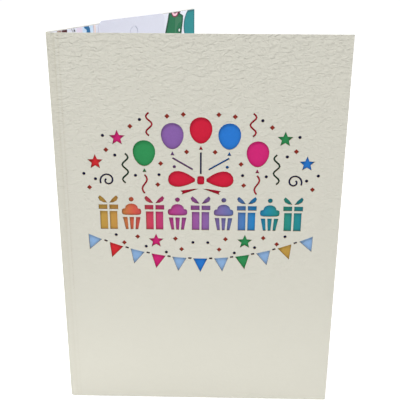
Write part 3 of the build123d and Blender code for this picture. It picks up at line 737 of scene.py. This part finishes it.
class CARD_OT_gift_cards(bpy.types.Operator):
    """Give the gift boxes and their ribbons their dyed cards"""

    bl_idname = "card.gift_cards"
    bl_label = "Gift cards"

    def execute(self, context):
        inks = context.scene.card_inks
        prints = context.scene.card_prints
        dress(spotted_card("spotted_violet_card", inks.violet, prints.violet_spots,
                           pitch=3.6, share=0.22), "wide_gift")
        dress(striped_card("striped_green_card", inks.green, prints.green_stripes,
                           pitch=3.2, share=0.4), "tall_gift")
        dress(spotted_card("spotted_teal_card", inks.teal, prints.teal_spots,
                           pitch=3.2, share=0.22), "small_gift")
        for gift, ink in (("wide", "gold"), ("tall", "red"), ("small", "magenta")):
            ribbon = striped_card(ink + "_ribbon_card", getattr(inks, ink), prints.ribbon_stripes,
                                  pitch=2.0, share=0.12, slant=1.0)
            dress(ribbon, gift + "_gift_ribbon")
        return {"FINISHED"}


class CARD_OT_bunting_card(bpy.types.Operator):
    """Give the bunting its cord and its flags their colours"""

    bl_idname = "card.bunting_card"
    bl_label = "Bunting card"

    def execute(self, context):
        inks = context.scene.card_inks
        prints = context.scene.card_prints
        flags = (inks.red, inks.sky, inks.gold, inks.teal)
        reach = prints.bunting_reach / MM
        corner = INNER_FOLD / MM + (ALONG_FRONT + ALONG_BACK) * reach
        material = bunting_card(
            "bunting_card", context.scene.card_papers.cord, flags, pitch=reach / len(flags),
            free_corner=corner.x + corner.y * FOLD_SLOPE,
            cord_foot=(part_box("bunting")[1].z - prints.cord_height) / MM)
        dress(material, "bunting")
        return {"FINISHED"}


# Operators: the printing


class CARD_OT_window_print(bpy.types.Operator):
    """Print a field of colour on the liner behind each window of the front leaf"""

    bl_idname = "card.window_print"
    bl_label = "Print behind the windows"

    # Share of the spread by which a window's box grows on each side, since its corners move slantwise
    SEEN_SPREAD = 0.7
    # The CAD mesh's loose triangles are joined at corners that lie closer than this
    MERGE_REACH = 0.001 * MM

    def execute(self, context):
        inks = context.scene.card_inks
        spread = 2 * inks.spread / MM * self.SEEN_SPREAD
        groups = {}
        for field in self.window_fields(context, inks.spread):
            corners = [vertex.co / MM for vertex in field.data.vertices]
            left = min(corner.x for corner in corners) - DESIGN_CENTRE
            right = max(corner.x for corner in corners) - DESIGN_CENTRE
            foot = min(corner.z for corner in corners)
            top = max(corner.z for corner in corners)
            ink = ink_behind(
                (left + right) / 2, (foot + top) / 2, right - left - spread, top - foot - spread)
            groups.setdefault(ink, []).append(field)
        for ink, members in sorted(groups.items()):
            select_only(*members)
            if len(members) > 1:
                bpy.ops.object.join()
            field = bpy.context.active_object
            if ink == "row":
                material = blended_ink(
                    "blended_row_ink", ROW_BLEND, DESIGN_CENTRE - TREAT_REACH, DESIGN_CENTRE + TREAT_REACH)
            else:
                material = printed_ink(ink + "_window_ink", getattr(inks, ink))
            thicken(field, INK_LAYER)
            finish_piece(field, ink + "_window_print", material)
        return {"FINISHED"}

    def window_fields(self, context, spread):
        """One flat field for each window, a little larger than it, on the liner's outer face."""
        sheet = bpy.data.objects.new("window_fields", frame["nodes"]["cover"].data.copy())
        context.scene.collection.objects.link(sheet)
        edit(sheet, "VERT")
        bpy.ops.mesh.remove_doubles(threshold=self.MERGE_REACH)
        pick(sheet, "FACE", lambda face: not self.is_window_wall(face))
        bpy.ops.mesh.delete(type="FACE")
        bpy.ops.mesh.select_all(action="SELECT")
        bpy.ops.transform.shrink_fatten(value=-spread)
        pick(sheet, "VERT", lambda vertex: vertex.co.y < FRONT_FACE + COVER_STOCK / 2)
        bpy.ops.mesh.delete(type="VERT")
        bpy.ops.mesh.select_all(action="SELECT")
        bpy.ops.transform.translate(value=(0, LINER_GAP - INK_LAYER / 2, 0))
        bpy.ops.mesh.fill()
        bpy.ops.mesh.separate(type="LOOSE")
        bpy.ops.object.mode_set(mode="OBJECT")
        fields = [piece for piece in context.scene.objects if piece.name.startswith("window_fields")]
        if len(fields) < 2:
            raise RuntimeError("The front leaf's windows weren't found")
        return fields

    def is_window_wall(self, face):
        """True for a face inside a window of the front leaf."""
        low, high = WINDOW_ZONE
        inside = abs(face.center.x) < WINDOW_REACH * MM and low * MM < face.center.z < high * MM
        return inside and abs(face.normal.y) < SIDEWAYS and face.center.y < FRONT_FACE + COVER_STOCK


class CARD_OT_back_leaf_print(bpy.types.Operator):
    """Print pennants, a gift bag and a large balloon on the inside of the back leaf"""

    bl_idname = "card.back_leaf_print"
    bl_label = "Print inside the back leaf"

    # Printed shapes with straight edges, each with its layer, colour and corners, from the inner fold and the
    # card's foot, in millimetres. What reaches over the top edge is cut off there.
    SHAPES = (
        ("ribbon_end", 1, "A4897C", (
            (6.6, 178.5), (6.6, 176.6), (8.0, 173.4), (9.4, 176.6), (9.4, 178.5))),
        ("dark_flag", 1, "4E1C22", (
            (9.6, 177.5), (9.6, 175.8), (11.4, 170.6), (13.1, 175.8), (13.3, 178.5), (10.3, 178.5))),
        ("grey_string", 1, "B2B2B4", (
            (15.4, 178.5), (16.1, 178.5), (18.1, 175.2), (17.9, 168.0), (17.3, 168.0), (17.5, 175.2))),
        ("grey_string_end", 1, "B2B2B4", (
            (16.8, 178.5), (17.5, 178.5), (19.0, 176.4), (18.5, 176.0))),
        ("pale_flag", 1, "EADFEE", (
            (19.5, 178.5), (19.8, 175.4), (21.6, 169.6), (23.4, 175.4), (23.7, 178.5))),
        ("blue_flag", 1, "CDE4F8", (
            (24.0, 178.5), (24.1, 175.0), (27.8, 166.8), (31.3, 175.0), (31.4, 178.5))),
        ("blue_ribbon", 2, "2F6E9E", (
            (24.7, 178.5), (27.8, 178.5), (29.2, 176.7), (29.6, 173.4),
            (28.3, 170.2), (26.4, 173.0), (26.8, 176.2), (25.2, 177.1))),
        ("grey_line", 1, "C8C2C8", (
            (31.8, 166.0), (32.3, 166.0), (32.1, 178.5), (31.6, 178.5))),
        ("peach_line", 1, "F6DACE", (
            (32.7, 164.0), (33.5, 164.0), (33.3, 178.5), (32.5, 178.5))),
        ("bag_outline", 1, "1E4D3A", (
            (90.4, 143.0), (93.7, 167.0), (95.2, 170.6), (96.6, 173.8), (97.6, 176.7),
            (98.4, 178.5), (107.6, 178.5), (109.3, 177.0), (113.3, 175.4), (113.2, 173.4),
            (112.4, 170.0), (111.8, 167.5), (111.3, 165.8), (110.8, 143.0))),
        ("bag", 2, "236F4B", (
            (92.0, 143.9), (95.1, 166.8), (96.7, 170.4), (98.1, 173.6), (99.1, 176.1),
            (100.2, 177.3), (102.0, 175.6), (107.4, 175.4), (109.2, 176.4), (111.9, 174.9),
            (111.8, 173.2), (111.0, 170.0), (110.3, 167.4), (109.8, 165.6), (109.4, 143.9))),
        ("bag_crease", 3, "3C7858", (
            (104.6, 174.6), (107.4, 175.2), (111.4, 174.4), (111.2, 172.4),
            (108.0, 171.6), (105.4, 168.6), (104.2, 160.0), (103.4, 160.0))),
        ("tissue_outline", 4, "7C3A4C", (
            (100.2, 178.5), (100.7, 177.4), (101.7, 176.0), (102.9, 175.3), (104.4, 175.05),
            (106.0, 175.2), (107.3, 175.8), (108.0, 176.9), (107.8, 178.5))),
        ("tissue", 5, "FAC8D6", (
            (101.0, 178.5), (101.3, 177.4), (102.1, 176.5), (103.1, 176.0), (104.3, 175.8),
            (105.5, 175.9), (106.4, 176.3), (106.9, 177.0), (106.8, 178.5))),
        ("tissue_fold", 6, "561A2E", (
            (102.5, 178.5), (102.6, 177.7), (103.4, 177.25), (104.6, 177.1), (105.8, 177.25),
            (106.7, 177.65), (106.8, 178.5))),
        ("bag_knot", 6, "561A2E", (
            (107.7, 177.3), (108.2, 176.8), (109.9, 177.2), (111.2, 178.5), (108.6, 178.5))),
    )
    # Printed ovals, each with its layer, colour, middle and half sizes
    OVALS = (
        ("grey_dot", 2, "2E2E34", 18.0, 176.7, 0.4, 0.4),
        ("bag_tag_outline", 3, "1E4D3A", 108.8, 167.9, 1.7, 1.35),
        ("bag_tag", 4, "E8F6EE", 108.9, 167.9, 0.7, 0.8),
        ("balloon_outline", 1, "2B6C72", 129.9, 169.4, 16.1, 12.0),
    )
    # Large balloon inside its outline, which also runs along the leaf's edges
    BALLOON = (129.9, 169.4, 15.1, 11.3)
    BALLOON_INSET = 1.0
    OVAL_CORNERS = 64
    # Room between the printing and the liner's edges, in millimetres
    EDGE_ROOM = 0.05

    def execute(self, context):
        inner_length = LEAF_LENGTH - LINER_MARGIN - (INNER_FOLD - OUTER_FOLD).dot(ALONG_BACK)
        top = (LEAF_HEIGHT - LINER_MARGIN) / MM - self.EDGE_ROOM
        edge = inner_length / MM - self.EDGE_ROOM
        for name, layer, code, outline in self.SHAPES:
            self.lay(self.cut(outline, top), name + "_print", linear(code), layer)
        for name, layer, code, *sizes in self.OVALS:
            self.lay(self.oval(*sizes, top, edge), name + "_print", linear(code), layer)
        balloon = self.oval(*self.BALLOON, top - self.BALLOON_INSET, edge - self.BALLOON_INSET)
        self.lay(balloon, "balloon_print", context.scene.card_inks.teal, layer=2)
        return {"FINISHED"}

    def cut(self, outline, top):
        """Flat piece with these corners, in millimetres on the leaf, cut off at the leaf's top edge."""
        clear_selection()
        bpy.ops.mesh.primitive_circle_add(vertices=len(outline), radius=MM, fill_type="NGON")
        piece = bpy.context.active_object
        for vertex, (x, y) in zip(piece.data.vertices, outline):
            vertex.co = (x * MM, y * MM, 0)
        piece.data.update()
        if piece.data.polygons[0].normal.z < 0:
            edit(piece)
            bpy.ops.mesh.flip_normals()
        self.trim(piece, top)
        return piece

    def oval(self, x, y, width, height, top, edge):
        """Flat oval with these half sizes, in millimetres on the leaf, cut off at the leaf's edges."""
        clear_selection()
        bpy.ops.mesh.primitive_circle_add(vertices=self.OVAL_CORNERS, radius=MM, fill_type="NGON")
        piece = bpy.context.active_object
        place = Matrix.Translation((x * MM, y * MM, 0))
        piece.data.transform(place @ Matrix.Diagonal((width, height, 1, 1)))
        self.trim(piece, top, edge)
        return piece

    def trim(self, piece, top, edge=None):
        """Cuts a flat piece off at the leaf's top edge, and at its free edge if that is given."""
        edit(piece)
        bpy.ops.mesh.bisect(plane_co=(0, top * MM, 0), plane_no=(0, 1, 0), clear_outer=True)
        bpy.ops.mesh.select_all(action="SELECT")
        if edge is not None:
            bpy.ops.mesh.bisect(plane_co=(edge * MM, 0, 0), plane_no=(1, 0, 0), clear_outer=True)
        clear_selection()

    def lay(self, piece, name, colour, layer):
        """Lays a flat piece on the back leaf's liner, in its layer of ink."""
        thicken(piece, INK_LAYER * layer)
        piece.matrix_world = BACK_LEAF
        select_only(piece)
        bpy.ops.object.transform_apply(location=True, rotation=True, scale=True)
        finish_piece(piece, name, printed_ink(name + "_ink", colour))


# Operator: the stage


class CARD_OT_stage(bpy.types.Operator):
    """Set up the camera, the lamps, the sky and the floor"""

    bl_idname = "card.stage"
    bl_label = "Stage"

    # The camera's place in metres, its turn in degrees, and its lens and sensor in millimetres
    CAMERA_PLACE = (6.4 * MM, -343.546 * MM, 212.8 * MM)
    CAMERA_TURN = (69.446, -0.2767, 1.2378)
    CAMERA_LENS = 61.75
    CAMERA_SENSOR = 36.0
    CAMERA_START = 10 * MM

    # Lamps, each with its place and sides in metres, and how far up the front leaf it is aimed
    LAMPS = (
        ("key", (-0.2, -0.6, 1.15), (0.35, 0.35), 0.5),
        ("low", (-0.005, -0.118, 0.006), (0.24, 0.01), 0.0),
        ("side", (0.95, 0.15, 0.5), (0.4, 0.4), 0.5),
        ("back", (-0.7, 0.6, 0.8), (0.4, 0.4), 0.5),
    )

    # How far the floor lies under the card
    FLOOR_DROP = 0.2 * MM

    def execute(self, context):
        stage = context.scene.card_stage
        self.camera(context)
        for name, place, sides, rise in self.LAMPS:
            power = getattr(stage, name + "_power")
            self.lamp(context, name + "_light", power, place, sides, rise * LEAF_HEIGHT)
        self.sky(context, stage.sky_strength)
        self.floor(stage)
        context.scene.view_settings.view_transform = "Standard"
        return {"FINISHED"}

    def camera(self, context):
        """Camera where the photograph was taken from."""
        camera = bpy.data.cameras.new("camera")
        camera.lens = self.CAMERA_LENS
        camera.sensor_width = self.CAMERA_SENSOR
        camera.clip_start = self.CAMERA_START
        holder = bpy.data.objects.new("camera", camera)
        holder.location = self.CAMERA_PLACE
        holder.rotation_euler = [math.radians(angle) for angle in self.CAMERA_TURN]
        context.scene.collection.objects.link(holder)
        context.scene.camera = holder

    def lamp(self, context, name, power, place, sides, height):
        """Soft lamp with these sides that faces the front leaf's middle line at this height."""
        light = bpy.data.lights.new(name, "AREA")
        light.energy = power
        light.shape = "RECTANGLE"
        light.size, light.size_y = sides
        holder = bpy.data.objects.new(name, light)
        holder.visible_camera = False
        holder.location = place
        aim = Vector((0, FRONT_FACE, height)) - Vector(place)
        holder.rotation_euler = aim.to_track_quat("-Z", "Y").to_euler()
        context.scene.collection.objects.link(holder)

    def sky(self, context, strength):
        """Even sky that looks white."""
        world = bpy.data.worlds.new("sky")
        world.use_nodes = True
        tree = world.node_tree
        power = add_node(tree, "MapRange", inputs={
            "Value": self.seen(tree), "To Min": strength, "To Max": 1.0})
        background = tree.nodes["Background"]
        background.inputs["Color"].default_value = (1, 1, 1, 1)
        tree.links.new(power.outputs[0], background.inputs["Strength"])
        context.scene.world = world

    def seen(self, tree):
        """One for camera, glossy and transmission rays."""
        rays = add_node(tree, "LightPath").outputs
        seen = rays["Is Camera Ray"]
        for kind in ("Is Glossy Ray", "Is Transmission Ray"):
            seen = add_node(tree, "Math", {"operation": "MAXIMUM"}, {0: seen, 1: rays[kind]}).outputs[0]
        return seen

    def floor(self, stage):
        """Floor of white painted board, matt and even, under the card.

        The camera sees a darker board that glows, so that it shows white and keeps the card's shadow.
        """
        clear_selection()
        bpy.ops.mesh.primitive_plane_add(size=stage.floor_width, location=(0, 0, -self.FLOOR_DROP))
        floor = bpy.context.active_object
        floor.name = "floor"
        material = bpy.data.materials.new("white_painted_board")
        material.use_nodes = True
        tree = material.node_tree
        tree.nodes.clear()
        board = add_node(tree, "BsdfDiffuse", inputs={"Color": stage.board})
        darker = add_node(tree, "BsdfDiffuse", inputs={"Color": stage.seen_board})
        glow = add_node(tree, "Emission", inputs={"Strength": stage.seen_glow})
        white = add_node(tree, "AddShader", inputs={0: darker.outputs[0], 1: glow.outputs[0]})
        mix = add_node(tree, "MixShader", inputs={
            0: self.seen(tree), 1: board.outputs[0], 2: white.outputs[0]})
        add_node(tree, "OutputMaterial", inputs={0: mix.outputs[0]})
        floor.data.materials.append(material)


STEPS = (
    CARD_OT_cover_card,
    CARD_OT_liner_paper,
    CARD_OT_note_papers,
    CARD_OT_cake_cards,
    CARD_OT_candle_cards,
    CARD_OT_balloon_cards,
    CARD_OT_gift_cards,
    CARD_OT_bunting_card,
    CARD_OT_window_print,
    CARD_OT_back_leaf_print,
    CARD_OT_stage,
)
GROUPS = (
    ("card_papers", CardPapers),
    ("card_inks", CardInks),
    ("card_prints", CardPrints),
    ("card_stage", CardStage),
)


class CARD_PT_sidebar(bpy.types.Panel):
    """List the card's sizes, colours and steps"""

    bl_idname = "CARD_PT_sidebar"
    bl_label = "Pop up card"
    bl_space_type = "VIEW_3D"
    bl_region_type = "UI"
    bl_category = "Pop up card"

    def draw(self, context):
        for name, group in GROUPS:
            box = self.layout.box()
            for value in group.__annotations__:
                box.prop(getattr(context.scene, name), value)
        for step in STEPS:
            self.layout.operator(step.bl_idname)


def register():
    """Registers the groups, the steps and the panel."""
    for name, group in GROUPS:
        bpy.utils.register_class(group)
        setattr(bpy.types.Scene, name, bpy.props.PointerProperty(type=group))
    for step in STEPS:
        bpy.utils.register_class(step)
    bpy.utils.register_class(CARD_PT_sidebar)


def unregister():
    """Takes them out again."""
    bpy.utils.unregister_class(CARD_PT_sidebar)
    for step in reversed(STEPS):
        bpy.utils.unregister_class(step)
    for name, group in reversed(GROUPS):
        delattr(bpy.types.Scene, name)
        bpy.utils.unregister_class(group)


def main():
    """Makes the whole scene, one step after another."""
    register()
    bpy.ops.card.cover_card()
    bpy.ops.card.liner_paper()
    bpy.ops.card.note_papers()
    bpy.ops.card.cake_cards()
    bpy.ops.card.candle_cards()
    bpy.ops.card.balloon_cards()
    bpy.ops.card.gift_cards()
    bpy.ops.card.bunting_card()
    bpy.ops.card.window_print()
    bpy.ops.card.back_leaf_print()
    bpy.ops.card.stage()


if __name__ == "__main__":
    main()
